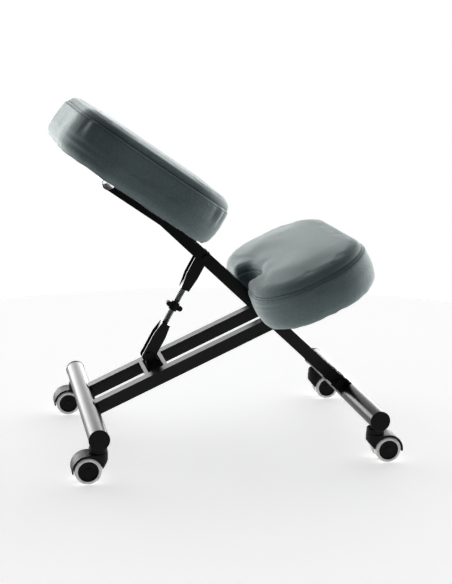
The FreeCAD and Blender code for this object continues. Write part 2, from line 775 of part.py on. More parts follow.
def caster_hood():
    """Moulded hood over the twin wheels, with a middle web for the axle and a boss for the stem.

    The stem's axis is the Z axis, and the wheels trail towards -X.
    """
    centre = vec(-caster_trail, 0, wheel_radius)
    inner = wheel_radius + hood_clearance
    outer = inner + hood_sheet
    half = hood_width / 2
    boss_top = crossbar_height - tube_radius - boss_top_gap

    def on_circle(radius, degrees):
        angle = math.radians(degrees)
        return vec(centre.x + radius * math.cos(angle), -half, centre.z + radius * math.sin(angle))

    middle_angle = (hood_lip_angle + 90) / 2
    top = on_circle(outer, 90)
    front_top = vec(hood_front_reach, -half, top.z)
    front_low = vec(hood_front_reach, -half, hood_front_height)
    throat = on_circle(inner, hood_throat_angle)
    throat_middle = on_circle(inner, (hood_lip_angle + hood_throat_angle) / 2)
    edges = [Part.Arc(on_circle(outer, hood_lip_angle), on_circle(outer, middle_angle), top).toShape(),
             Part.LineSegment(top, front_top).toShape(),
             Part.LineSegment(front_top, front_low).toShape(),
             Part.LineSegment(front_low, throat).toShape(),
             Part.Arc(throat, throat_middle, on_circle(inner, hood_lip_angle)).toShape(),
             Part.LineSegment(on_circle(inner, hood_lip_angle), on_circle(outer, hood_lip_angle)).toShape()]
    shell = Part.Face(Part.Wire(edges)).extrude(vec(0, hood_width, 0))
    web_half = hood_web / 2
    web = side_profile([(centre.x - hood_hub_radius, centre.z, 0),
                        (centre.x + hood_hub_radius, centre.z, 0),
                        (throat.x, throat.z, 0),
                        (throat.x, top.z - hood_sheet, 0),
                        (centre.x - hood_hub_radius, top.z - hood_sheet, 0)], -web_half, web_half)
    web = web.fuse(cross_cylinder(hood_hub_radius, centre.x, centre.z, -web_half, web_half))
    plan_middle = hood_front_reach - half
    plan = box(centre.x - 2 * outer, plan_middle, -half, half, 0, boss_top)
    plan = plan.fuse(Part.makeCylinder(half, boss_top, vec(plan_middle, 0, 0)))
    boss_base = wheel_diameter + hood_clearance
    boss = Part.makeCylinder(boss_radius, boss_top - boss_base, vec(0, 0, boss_base))
    rim = [edge for edge in boss.Edges if edge.Closed and edge.BoundBox.ZMin > boss_top - overshoot]
    boss = boss.makeFillet(boss_edge_round, rim)
    hood = shell.common(plan).fuse(web).fuse(boss)
    hood = hood.cut(cross_cylinder(axle_radius, centre.x, centre.z, -half, half))
    hood = hood.cut(Part.makeCylinder(stem_radius, stem_seat + overshoot, vec(0, 0, boss_top - stem_seat)))
    return hood.removeSplitter()


def caster_pins():
    """The caster's stem and axle."""
    boss_top = crossbar_height - tube_radius - boss_top_gap
    bottom = boss_top - stem_seat
    top = crossbar_height - tube_radius + stem_length
    stem = Part.makeCylinder(stem_radius, top - bottom, vec(0, 0, bottom))
    reach = wheel_outer - hub_face
    axle = cross_cylinder(axle_radius, -caster_trail, wheel_radius, -reach, reach)
    return Part.makeCompound([stem, axle])


def wheel_hub():
    """A wheel's disc with a dished face and a blind axle bore."""
    bore = axle_radius + running_clearance
    bore_end = wheel_outer - hub_face + assembly_clearance
    dish = wheel_outer - hub_dish_depth
    profile = [(bore, wheel_inner), (hub_radius, wheel_inner), (hub_radius, wheel_outer),
               (hub_dish_outer, wheel_outer), (hub_dish_outer - hub_dish_depth, dish),
               (hub_dish_inner + hub_dish_depth, dish), (hub_dish_inner, wheel_outer),
               (0, wheel_outer), (0, bore_end), (bore, bore_end)]
    return turned(profile, vec(-caster_trail, 0, wheel_radius))


def wheel_tyre():
    """A soft tyre ring with rounded shoulders, pressed on the hub."""
    centre_x = -caster_trail
    wire = rounded_wire([(centre_x + hub_radius, wheel_inner, 0),
                         (centre_x + wheel_radius, wheel_inner, tyre_round),
                         (centre_x + wheel_radius, wheel_outer, tyre_round),
                         (centre_x + hub_radius, wheel_outer, 0)],
                        lambda u, v: vec(u, v, wheel_radius))
    return Part.Face(wire).revolve(vec(centre_x, 0, wheel_radius), vec(0, 1, 0), 360)


def caster_parts(name, x, y, turn):
    """All pieces of one caster, turned about its stem and moved under its crossbar."""
    frame = FreeCAD.Placement(vec(x, y, 0), FreeCAD.Rotation(vec(0, 0, 1), turn))
    pieces = {"hood": caster_hood(), "pins": caster_pins()}
    for side, label in ((1, "a"), (-1, "b")):
        for part, shape in (("hub", wheel_hub()), ("tyre", wheel_tyre())):
            pieces[part + "_" + label] = shape if side > 0 else mirrored_in_y(shape)
    return {name + "_" + part: placed(shape, frame) for part, shape in pieces.items()}


def all_parts():
    parts = {
        "rear_crossbar": crossbar(rear_tube),
        "rear_end_caps": end_caps(rear_tube),
        "rear_stem_sockets": stem_sockets(rear_tube),
        "side_beam_left": side_beam(1),
        "side_beam_right": side_beam(-1),
        "side_beam_plugs": beam_plugs(),
        "saddle_bars": saddle_bars(),
        "strut_lug": strut_lug(),
        "frame_pivot_bolt": frame_pivot_bolt(),
        "frame_pivot_washers": frame_pivot_washers(),
        "lower_pivot_bolt": lower_pivot_bolt(),
        "knee_board": knee_board(),
        "knee_under_cover": knee_under_cover(),
        "knee_screws": knee_screws(),
        "knee_cushion": knee_cushion(),
        "front_crossbar": crossbar(front_tube),
        "front_end_caps": end_caps(front_tube),
        "front_stem_sockets": stem_sockets(front_tube),
        "leg_sockets": leg_sockets(),
        "socket_bolt": socket_bolt(),
        "main_leg_left": main_leg(1),
        "main_leg_right": main_leg(-1),
        "frame_pivot_spacer": frame_pivot_spacer(),
        "upper_pivot_bolt": upper_pivot_bolt(),
        "top_cross_tube": top_cross_tube(),
        "seat_mount_plate": seat_mount_plate(),
        "seat_under_cover": seat_under_cover(),
        "seat_board": seat_board(),
        "seat_screws": seat_screws(),
        "seat_cushion": seat_cushion(),
        "lower_fitting": lower_fitting(),
        "lower_nut": lower_nut(),
        "upper_fitting": upper_fitting(),
        "upper_nut": upper_nut(),
        "threaded_rod": threaded_rod(),
        "knob": knob(),
    }
    parts.update(caster_parts("caster_rear_left", -half_spacing, caster_half_track, 0))
    parts.update(caster_parts("caster_rear_right", -half_spacing, -caster_half_track, 0))
    parts.update(caster_parts("caster_front_left", half_spacing, caster_half_track, 180))
    parts.update(caster_parts("caster_front_right", half_spacing, -caster_half_track, 180))
    return parts


os.makedirs("parts", exist_ok=True)
for node, solid in all_parts().items():
    solid.exportStep("parts/" + node + ".step")
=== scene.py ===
"""Dresses the kneeling chair: two upholstered pads, the finishes of its frame, a pale studio and the camera.

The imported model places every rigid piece. This file makes the fabric pads with their seams and the
welds in the same frame, in metres, and gives each piece its real finish.
"""

import json
import logging
import math
from abc import ABC, abstractmethod
from dataclasses import dataclass, field
from enum import Enum

import bpy
import numpy as np
from mathutils import Matrix, Vector
from mathutils.bvhtree import BVHTree

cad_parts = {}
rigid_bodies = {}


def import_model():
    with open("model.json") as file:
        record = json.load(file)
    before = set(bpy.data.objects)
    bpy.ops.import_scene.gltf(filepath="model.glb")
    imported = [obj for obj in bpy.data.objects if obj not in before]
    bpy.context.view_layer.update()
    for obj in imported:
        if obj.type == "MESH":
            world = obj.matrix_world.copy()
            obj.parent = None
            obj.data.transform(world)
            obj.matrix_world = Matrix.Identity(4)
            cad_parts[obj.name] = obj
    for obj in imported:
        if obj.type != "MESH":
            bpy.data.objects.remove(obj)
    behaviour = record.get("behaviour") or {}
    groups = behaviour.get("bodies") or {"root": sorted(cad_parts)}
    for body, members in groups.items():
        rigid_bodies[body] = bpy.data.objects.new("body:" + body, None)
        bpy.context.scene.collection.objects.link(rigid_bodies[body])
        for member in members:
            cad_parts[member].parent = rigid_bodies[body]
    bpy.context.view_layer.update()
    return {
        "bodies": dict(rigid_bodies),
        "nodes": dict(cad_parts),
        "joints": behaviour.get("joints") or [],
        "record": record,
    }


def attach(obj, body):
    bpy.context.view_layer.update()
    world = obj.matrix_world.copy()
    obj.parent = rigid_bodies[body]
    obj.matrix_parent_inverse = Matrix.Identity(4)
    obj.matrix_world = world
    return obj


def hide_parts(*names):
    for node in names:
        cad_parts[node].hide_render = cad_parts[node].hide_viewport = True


log = logging.getLogger("kneeling_chair")

Colour = tuple[float, float, float, float]
Corner = tuple[float, float, float]
Triple = tuple[float, float, float]
Values = dict[str | int, object]

# Length of one wave of a wave texture whose scale is one.
WAVE_LENGTH = math.pi / 10

# Points measured at a time against an outline, which keeps the arrays small.
BATCH = 4000

# The foam's sides, from the skirt up: shares of the skirt's inset and of the side's height.
SKIRT_PROFILE = ((1.0, 0.0), (0.35, 0.08), (0.0, 0.2))
# The foam's shoulder, from the seam up: the inset in seam insets and the share of the crown.
SHOULDER_PROFILE = ((1.0, 0.0), (2.1, 0.44), (3.3, 0.64), (5.0, 0.78))
# The skirt's ripples: share, waves along the outline in radians per metre, and phase.
RIPPLES = ((1.0, 62, 1.3), (0.7, 119, 0.4), (0.4, 201, 0.0))
# One stitch along its length: place and thickness, as shares.
STITCH_PROFILE = ((-0.5, 0.0), (-0.42, 0.7), (-0.2, 1.0), (0.2, 1.0), (0.42, 0.7), (0.5, 0.0))
STITCH_SIDES = 6

# Axes of the crossbars, and slopes of the side beams and the main legs, in metres and degrees.
REAR_AXIS = (-0.2667, 0.0, 0.0856)
FRONT_AXIS = (0.2667, 0.0, 0.0856)
BEAM_SLOPE = 23.94
LEG_SLOPE = 43.88


class Body(Enum):
    """The moving bodies that carry the pieces made here."""

    BASE = "base_frame"
    MAIN = "main_frame"


class Slot(Enum):
    """Two of the record's material slots; nothing here uses them."""

    PAINT = "black_paint"
    FABRIC = "grey_fabric"


def linear(hex_code: str) -> Colour:
    """Turns an sRGB hex colour to linear light.

    Args:
        hex_code: the colour as "#RRGGBB".

    Returns:
        Linear red, green and blue, with an alpha of one.
    """
    channels = [int(hex_code[start:start + 2], 16) / 255 for start in (1, 3, 5)]
    red, green, blue = (c / 12.92 if c <= 0.04045 else ((c + 0.055) / 1.055) ** 2.4 for c in channels)
    return red, green, blue, 1.0


def add_node(tree: bpy.types.NodeTree, kind: str, settings: dict[str, object] | None = None,
             inputs: Values | None = None) -> bpy.types.Node:
    """Adds one shader node with its settings, values and links.

    Args:
        tree: the node tree that gets the node.
        kind: the node's type name without its "ShaderNode" prefix.
        settings: the node's own properties by name.
        inputs: values by input name or number; an output socket given as a value is linked.

    Returns:
        The new node.
    """
    node = tree.nodes.new("ShaderNode" + kind)
    for name, value in (settings or {}).items():
        setattr(node, name, value)
    for name, value in (inputs or {}).items():
        socket = node.inputs[name]
        if isinstance(value, bpy.types.NodeSocket):
            tree.links.new(value, socket)
        else:
            socket.default_value = value
    return node


@dataclass(frozen=True)
class Shading:
    """One material's node tree and shader, with the steps that the finishes' patterns share."""

    tree: bpy.types.NodeTree
    shader: bpy.types.Node

    def link(self, name: str, socket: bpy.types.NodeSocket) -> None:
        """Links a result to the shader's input of that name."""
        self.tree.links.new(socket, self.shader.inputs[name])

    def place(self) -> bpy.types.NodeSocket:
        """The object's own coordinates in metres."""
        return add_node(self.tree, "TexCoord").outputs["Object"]

    def noise(self, size: float, detail: float, stretch: Triple = (1.0, 1.0, 1.0)) -> bpy.types.NodeSocket:
        """Noise whose features have a real size.

        Args:
            size: width of one feature in metres.
            detail: how many finer layers are added.
            stretch: scale of the coordinates along each axis, for streaks.

        Returns:
            The noise value, about a half on average.
        """
        mapped = add_node(self.tree, "Mapping", inputs={"Vector": self.place(), "Scale": stretch})
        inputs = {"Vector": mapped.outputs[0], "Scale": 1 / size, "Detail": detail}
        return add_node(self.tree, "TexNoise", inputs=inputs).outputs[0]

    def spread(self, value: bpy.types.NodeSocket, low: float, high: float) -> bpy.types.NodeSocket:
        """Maps the middle of a noise's range onto low to high."""
        inputs = {"Value": value, "From Min": 0.3, "From Max": 0.7, "To Min": low, "To Max": high}
        return add_node(self.tree, "MapRange", {"clamp": True}, inputs).outputs[0]

    def mixed(self, share: bpy.types.NodeSocket, first: object, second: object) -> bpy.types.NodeSocket:
        """Mixes two colours or colour sockets by the second one's share."""
        inputs = {0: share, 6: first, 7: second}
        return add_node(self.tree, "Mix", {"data_type": "RGBA"}, inputs).outputs[2]

    def stain(self, share: bpy.types.NodeSocket, first: str, second: str) -> None:
        """Colours the shader with two hex colours, mixed by the second one's share."""
        self.link("Base Color", self.mixed(share, linear(first), linear(second)))

    def raise_by(self, height: bpy.types.NodeSocket, depth: float, strength: float = 1.0) -> None:
        """Bends the shader's normal.

        Args:
            height: a pattern between nought and one.
            depth: the pattern's real depth in metres.
            strength: how much of the bump is kept.
        """
        inputs = {"Height": height, "Distance": depth, "Strength": strength}
        self.link("Normal", add_node(self.tree, "Bump", inputs=inputs).outputs[0])


@dataclass(frozen=True)
class Finish(ABC):
    """A real material with the way its surface was made; builds one procedural material."""

    name: str
    colour: str
    roughness: float

    def material(self) -> bpy.types.Material:
        """Builds the material at its first use.

        Returns:
            The Blender material of this finish.
        """
        found = bpy.data.materials.get(self.name)
        if found is not None:
            return found
        made = bpy.data.materials.new(self.name)
        made.use_nodes = True
        made.diffuse_color = linear(self.colour)
        tree = made.node_tree
        tree.nodes.clear()
        values = {"Base Color": linear(self.colour), "Roughness": self.roughness, **self.constants()}
        shader = add_node(tree, "BsdfPrincipled", inputs=values)
        self.pattern(Shading(tree, shader))
        add_node(tree, "OutputMaterial", inputs={"Surface": shader.outputs[0]})
        return made

    def constants(self) -> Values:
        """The shader's uniform values beside colour and roughness."""
        return {}

    @abstractmethod
    def pattern(self, shading: Shading) -> None:
        """Adds the surface's own detail to the material's shading."""


@dataclass(frozen=True)
class MottledFinish(Finish):
    """A finish with spots of a second colour, an uneven gloss and a fine relief, each of a real size."""

    second_colour: str = "#101111"
    spot_size: float = 0.02
    spot_detail: float = 6.0
    spot_high: float = 0.8
    gloss_per_spot: float = 2.0
    gloss_detail: float = 4.0
    glossier: float = 0.05
    duller: float = 0.1
    relief_size: float = 0.0011
    relief_detail: float = 2.0
    relief_depth: float = 0.00004

    def pattern(self, shading: Shading) -> None:
        """Spots of the second colour, patches of other gloss, and the relief."""
        spots = shading.spread(shading.noise(self.spot_size, self.spot_detail), 0.0, self.spot_high)
        shading.stain(spots, self.colour, self.second_colour)
        gloss = shading.noise(self.spot_size / self.gloss_per_spot, self.gloss_detail)
        rough = shading.spread(gloss, self.roughness - self.glossier, self.roughness + self.duller)
        shading.link("Roughness", rough)
        shading.raise_by(shading.noise(self.relief_size, self.relief_detail), self.relief_depth)


@dataclass(frozen=True)
class PowderCoatedSteel(MottledFinish):
    """Steel under a baked black powder coat: satin, with a fine orange peel and rubbed spots."""

    second_colour: str = "#0E0F0F"
    spot_size: float = 0.05
    spot_high: float = 1.0
    gloss_per_spot: float = 3.0
    gloss_detail: float = 5.0
    glossier: float = 0.015
    duller: float = 0.02
    relief_size: float = 0.0024
    relief_detail: float = 1.0
    relief_depth: float = 0.00002

    def constants(self) -> Values:
        """A matted coat of resin reflects far less than glass when seen straight on."""
        return {"Specular IOR Level": 0.18}


@dataclass(frozen=True)
class PlatedSteel(MottledFinish):
    """Bright plated steel: a mirror broken by turning marks and the plating's cloudy spots."""

    second_colour: str = "#8C8F93"
    spot_size: float = 0.008
    spot_detail: float = 4.0
    spot_high: float = 0.7
    duller: float = 0.12
    relief_size: float = 0.0006
    relief_depth: float = 0.00001

    def constants(self) -> Values:
        """Metal through and through."""
        return {"Metallic": 1.0}


@dataclass(frozen=True)
class MouldedPlastic(MottledFinish):
    """Injection-moulded plastic: the mould's spark-eroded grain, dulled where dust settles.

    Real spark grain is about 0.1 mm; the relief is drawn ten times coarser to show at all.
    """

    def constants(self) -> Values:
        """The grain hides most of the plastic's gloss."""
        return {"Specular IOR Level": 0.14}


@dataclass(frozen=True)
class MouldedTread(Finish):
    """Soft polyurethane tread, moulded on the wheel: matt near white, with a little floor dirt."""

    dirt_colour: str = "#C9CAC7"
    dirt_size: float = 0.006
    grain_size: float = 0.0014
    grain_depth: float = 0.00006

    def pattern(self, shading: Shading) -> None:
        """Dirt picked up from the floor, and the soft moulded grain."""
        dirt = shading.spread(shading.noise(self.dirt_size, 6.0), -0.5, 0.8)
        shading.stain(dirt, self.colour, self.dirt_colour)
        shading.raise_by(shading.noise(self.grain_size, 2.0), self.grain_depth)


@dataclass(frozen=True)
class WovenPolyester(Finish):
    """Plain-woven polyester upholstery: a grid of crossing yarns, soft sheen, and a light melange."""

    light_colour: str = "#768A8B"
    dark_colour: str = "#4B5B5D"
    yarn_pitch: float = 0.0021
    yarn_depth: float = 0.00035
    fleck_size: float = 0.0032
    shade_size: float = 0.09

    def constants(self) -> Values:
        """Loose fibre ends catch light that comes in low over the cloth."""
        return {"Sheen Weight": 1.0, "Sheen Roughness": 0.5, "Sheen Tint": linear("#E4ECEB"),
                "Specular IOR Level": 0.5}

    def pattern(self, shading: Shading) -> None:
        """Yarns over and under each other, flecks of lighter fibre and slow changes of shade."""
        tree = shading.tree
        cloth = add_node(tree, "UVMap", {"uv_map": "weave"}).outputs[0]
        # Real yarns lie 0.7 mm apart; they are drawn three times coarser to show at all.
        waves = []
        for direction in ("X", "Y"):
            inputs = {"Vector": cloth, "Scale": WAVE_LENGTH / self.yarn_pitch, "Distortion": 1.2,
                      "Detail": 1.0, "Detail Scale": 0.4}
            waves.append(add_node(tree, "TexWave", {"bands_direction": direction}, inputs).outputs["Fac"])
        weave = add_node(tree, "Math", {"operation": "MULTIPLY"}, {0: waves[0], 1: waves[1]}).outputs[0]
        fleck = shading.spread(shading.noise(self.fleck_size, 4.0), 0.0, 1.0)
        shade = shading.spread(shading.noise(self.shade_size, 3.0), 0.0, 0.45)
        flecked = shading.mixed(fleck, linear(self.dark_colour), linear(self.light_colour))
        half = shading.mixed(shading.spread(weave, 0.3, 0.8), linear(self.colour), flecked)
        shading.link("Base Color", shading.mixed(shade, half, linear(self.dark_colour)))
        inputs = {0: weave, 1: 0.7, 2: fleck}
        height = add_node(tree, "Math", {"operation": "MULTIPLY_ADD"}, inputs).outputs[0]
        shading.raise_by(height, self.yarn_depth, 0.7)


@dataclass(frozen=True)
class SewingThread(Finish):
    """Twisted polyester thread: two plies wound round each other, a little shinier than the cloth."""

    ply_pitch: float = 0.001
    ply_depth: float = 0.0001

    def pattern(self, shading: Shading) -> None:
        """The slanting lines of the two plies."""
        inputs = {"Vector": shading.place(), "Scale": WAVE_LENGTH / self.ply_pitch}
        wave = add_node(shading.tree, "TexWave", {"bands_direction": "DIAGONAL"}, inputs).outputs["Fac"]
        shading.raise_by(wave, self.ply_depth)


@dataclass(frozen=True)
class SpunbondLining(Finish):
    """Black spunbond lining under a seat: a felted web of fibres, pressed in small points."""

    fibre_colour: str = "#222325"
    point_pitch: float = 0.0026
    point_depth: float = 0.00015

    def pattern(self, shading: Shading) -> None:
        """Pressed points in rows, over a tangle of lighter fibres."""
        inputs = {"Vector": shading.place(), "Scale": 1 / self.point_pitch, "Randomness": 0.25}
        point = add_node(shading.tree, "TexVoronoi", inputs=inputs).outputs["Distance"]
        fibre = shading.spread(shading.noise(self.point_pitch / 2, 5.0), 0.0, 0.9)
        shading.stain(fibre, self.colour, self.fibre_colour)
        shading.raise_by(point, self.point_depth)


@dataclass(frozen=True)
class RotaryCutBirch(Finish):
    """Birch plywood, rotary cut: pale wood with long wandering grain."""

    grain_colour: str = "#A98558"
    grain_width: float = 0.006
    grain_depth: float = 0.00008

    def pattern(self, shading: Shading) -> None:
        """Grain drawn out along the chair, with soft early and late wood."""
        grain = shading.noise(self.grain_width, 5.0, (0.12, 1.0, 1.0))
        shading.stain(shading.spread(grain, 0.0, 0.8), self.colour, self.grain_colour)
        shading.raise_by(grain, self.grain_depth)


@dataclass(frozen=True)
class PaintedGlowSheet(Finish):
    """The studio's floor: a white matt sheet with a faint painted glow, emitted by the sheet itself."""

    patch_colour: str = "#E8E9E8"
    patch_size: float = 0.5
    # Strength of the floor's painted glow: white light emitted by the sheet, which is no lamp.
    painted_glow: float = 0.5

    def constants(self) -> Values:
        """A painted glow, emitted by the sheet itself, keeps it near white where the chair's shadow falls and
        lights the chair from below.
        """
        # Painted glow: the floor emits white light of its own.
        return {"Emission Color": linear("#FFFFFF"), "Emission Strength": self.painted_glow}

    def pattern(self, shading: Shading) -> None:
        """Slow, faint changes of shade."""
        patch = shading.spread(shading.noise(self.patch_size, 2.0), 0.0, 0.12)
        shading.stain(patch, self.colour, self.patch_colour)


FRAME_PAINT = PowderCoatedSteel("powder_coated_steel_black", "#080808", 0.3)
FITTING_PAINT = PowderCoatedSteel("powder_coated_sheet_black", "#0B0C0C", 0.33, spot_size=0.02)
BLACK_BOLT = PowderCoatedSteel("black_oxide_bolt_steel", "#101112", 0.42, spot_size=0.006)
ZINC = PlatedSteel("zinc_plated_steel", "#B4B7BA", 0.32)
NICKEL = PlatedSteel("nickel_plated_rod", "#85878A", 0.3, "#5A5C5E")
CAP_PLASTIC = MouldedPlastic("moulded_polyethylene_black", "#090A0A", 0.46)
HOOD_NYLON = MouldedPlastic("moulded_nylon_black", "#080909", 0.4)
HUB_NYLON = MouldedPlastic("moulded_nylon_hub", "#0A0A0B", 0.5, spot_size=0.008)
KNOB_NYLON = MouldedPlastic("moulded_nylon_knob", "#101112", 0.42, spot_size=0.006)
TREAD = MouldedTread("moulded_polyurethane_grey", "#F1F1F0", 0.55)
FABRIC = WovenPolyester("woven_polyester_grey", "#5D7072", 0.7)
THREAD = SewingThread("sewing_thread_grey", "#30393B", 0.6)
LINING = SpunbondLining("spunbond_lining_black", "#0C0D0E", 0.9)
BIRCH = RotaryCutBirch("rotary_cut_birch", "#CBA878", 0.55)
FLOOR = PaintedGlowSheet("matt_acrylic_sheet_white", "#F0F1F0", 0.9)


def unit(vectors: np.ndarray) -> np.ndarray:
    """Vectors of length one in the same directions.

    Args:
        vectors: one vector, or one in each row.

    Returns:
        The vectors divided by their lengths.
    """
    lengths = np.linalg.norm(vectors, axis=-1, keepdims=True)
    return vectors / np.maximum(lengths, 1e-12)


def bell(distance: np.ndarray, width: float) -> np.ndarray:
    """A smooth bump that is one at no distance and falls off over the width."""
    return np.exp(-((distance / width) ** 2) / 2)


def eased(values: np.ndarray, start: float, end: float) -> np.ndarray:
    """Nought before start, one after end, smooth in between."""
    share = np.clip((values - start) / (end - start), 0, 1)
    return share * share * (3 - 2 * share)


def rounded_ring(corners: list[Corner], arc_steps: int = 12, run_steps: int = 22) -> np.ndarray:
    """Points along a closed outline of straight runs and corner arcs.

    Args:
        corners: each corner's place and radius, anticlockwise or clockwise.
        arc_steps: steps along each arc.
        run_steps: steps along each straight run.

    Returns:
        One point in each row, the same number for every inset of an outline.
    """
    places = np.array([corner[:2] for corner in corners])
    arcs = []
    for index, (x, y, radius) in enumerate(corners):
        corner = np.array([x, y])
        before = unit(places[index - 1] - corner)
        after = unit(places[(index + 1) % len(places)] - corner)
        half = math.acos(float(np.clip(before @ after, -1, 1))) / 2
        centre = corner + unit(before + after) * radius / math.sin(half)
        start = corner + before * radius / math.tan(half) - centre
        end = corner + after * radius / math.tan(half) - centre
        sweep = math.pi - 2 * half
        shares = np.linspace(0, 1, arc_steps + 1)[:, None]
        arcs.append(centre + (np.sin((1 - shares) * sweep) * start + np.sin(shares * sweep) * end)
                    / math.sin(sweep))
    points = []
    for index, arc in enumerate(arcs):
        following = arcs[(index + 1) % len(arcs)][0]
        shares = np.linspace(0, 1, run_steps + 1)[1:-1, None]
        points += [arc, arc[-1] * (1 - shares) + following * shares]
    return np.concatenate(points)


@dataclass
class Outline:
    """A closed outline in plan that answers how far inside it a point lies."""

    ring: np.ndarray

    def __post_init__(self) -> None:
        """Keeps each side's start, direction and distance along the outline."""
        self.sides = np.roll(self.ring, -1, axis=0) - self.ring
        lengths = np.linalg.norm(self.sides, axis=1)
        self.starts = np.concatenate([[0.0], np.cumsum(lengths)[:-1]])
        self.lengths = lengths
        self.length = float(lengths.sum())

    def measure(self, points: np.ndarray) -> tuple[np.ndarray, np.ndarray]:
        """Measures points against the outline.

        Args:
            points: plan positions, one in each row.

        Returns:
            The distance inwards from the outline, negative outside, and the distance along it.
        """
        inwards = np.empty(len(points))
        along = np.empty(len(points))
        for start in range(0, len(points), BATCH):
            part = points[start:start + BATCH]
            offset = part[:, None, :] - self.ring[None]
            share = np.clip((offset * self.sides).sum(2) / (self.lengths ** 2), 0, 1)
            gap = np.linalg.norm(offset - share[..., None] * self.sides, axis=2)
            nearest = gap.argmin(axis=1)
            rows = np.arange(len(part))
            ends = self.ring + self.sides
            crosses = (self.ring[None, :, 1] > part[:, None, 1]) != (ends[None, :, 1] > part[:, None, 1])
            rise = np.where(np.abs(self.sides[:, 1]) < 1e-12, 1e-12, self.sides[:, 1])
            at = self.ring[None, :, 0] + (part[:, None, 1] - self.ring[None, :, 1]) * self.sides[:, 0] / rise
            inside = (crosses & (part[:, None, 0] < at)).sum(axis=1) % 2 == 1
            inwards[start:start + BATCH] = gap[rows, nearest] * np.where(inside, 1, -1)
            along[start:start + BATCH] = (self.starts[nearest]
                                          + share[rows, nearest] * self.lengths[nearest])
        return inwards, along

    def offsets(self, along: np.ndarray, place: tuple[float, float]) -> np.ndarray:
        """Distances along the outline from the point nearest a place in plan, negative before it."""
        start = self.measure(np.array([place]))[1][0]
        return (along - start + self.length / 2) % self.length - self.length / 2


def tilted_frame(origin: Triple, angle: float) -> Matrix:
    """A frame at an origin, turned about the chair's Y axis by degrees."""
    return Matrix.Translation(Vector(origin)) @ Matrix.Rotation(math.radians(angle), 4, "Y")


def gathered(items: bpy.types.bpy_prop_collection, attribute: str) -> np.ndarray:
    """An attribute of three numbers of a mesh's items, one item in each row."""
    values = np.empty(len(items) * 3, np.float32)
    items.foreach_get(attribute, values)
    return values.reshape(-1, 3).astype(float)


def coordinates(mesh: bpy.types.Mesh) -> np.ndarray:
    """The places of a mesh's points, one in each row."""
    return gathered(mesh.vertices, "co")


def point_normals(mesh: bpy.types.Mesh) -> np.ndarray:
    """The normals at a mesh's points, one in each row."""
    return gathered(mesh.vertex_normals, "vector")


def move_points(mesh: bpy.types.Mesh, places: np.ndarray) -> None:
    """Puts a mesh's points at new places."""
    mesh.vertices.foreach_set("co", places.astype(np.float32).ravel())
    mesh.update()


def new_mesh(name: str, points: list, faces: list) -> bpy.types.Mesh:
    """A new mesh of these points and faces."""
    mesh = bpy.data.meshes.new(name)
    mesh.from_pydata(points, [], faces)
    mesh.update()
    return mesh


def bands(first: int, levels: int, around: int) -> list[tuple[int, ...]]:
    """Four-sided faces between rings of points that follow each other.

    Args:
        first: number of the first ring's first point.
        levels: how many rings there are.
        around: how many points each ring has.

    Returns:
        The faces, ring after ring.
    """
    faces = []
    for low in range(first, first + (levels - 1) * around, around):
        for step in range(around):
            after = (step + 1) % around
            faces.append((low + step, low + after, low + around + after, low + around + step))
    return faces


def add_object(name: str, data: bpy.types.ID) -> bpy.types.Object:
    """Links a new object that shows a mesh, curve, light or camera."""
    made = bpy.data.objects.new(name, data)
    bpy.context.scene.collection.objects.link(made)
    return made


def modified(source: bpy.types.Mesh, kind: str, settings: dict[str, object]) -> bpy.types.Mesh:
    """Applies one modifier to a copy of a mesh.

    Args:
        source: the mesh to start from.
        kind: the modifier's type.
        settings: the modifier's settings by name.

    Returns:
        The changed mesh.
    """
    holder = add_object("holder", source.copy())
    modifier = holder.modifiers.new("change", kind)
    for name, value in settings.items():
        setattr(modifier, name, value)
    graph = bpy.context.evaluated_depsgraph_get()
    result = bpy.data.meshes.new_from_object(holder.evaluated_get(graph))
    bpy.data.objects.remove(holder)
    return result


def ring_cord(name: str, points: np.ndarray, radius: float) -> bpy.types.Object:
    """A closed round cord or bead of that radius, along points given one in each row."""
    curve = bpy.data.curves.new(name, "CURVE")
    curve.dimensions = "3D"
    curve.bevel_depth = radius
    curve.bevel_resolution = 2
    spline = curve.splines.new("POLY")
    spline.points.add(len(points) - 1)
    rows = np.concatenate([points, np.ones((len(points), 1))], axis=1)
    spline.points.foreach_set("co", rows.astype(np.float32).ravel())
    spline.use_cyclic_u = True
    return add_object(name, curve)


def dress(piece: bpy.types.Object, body: Body, finish: Finish) -> None:
    """Gives a new piece its finish and the body that it rides on.

    Args:
        piece: the piece made here.
        body: the moving body that carries it.
        finish: the finish itself.
    """
    piece.data.materials.clear()
    piece.data.materials.append(finish.material())
    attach(piece, body.value)


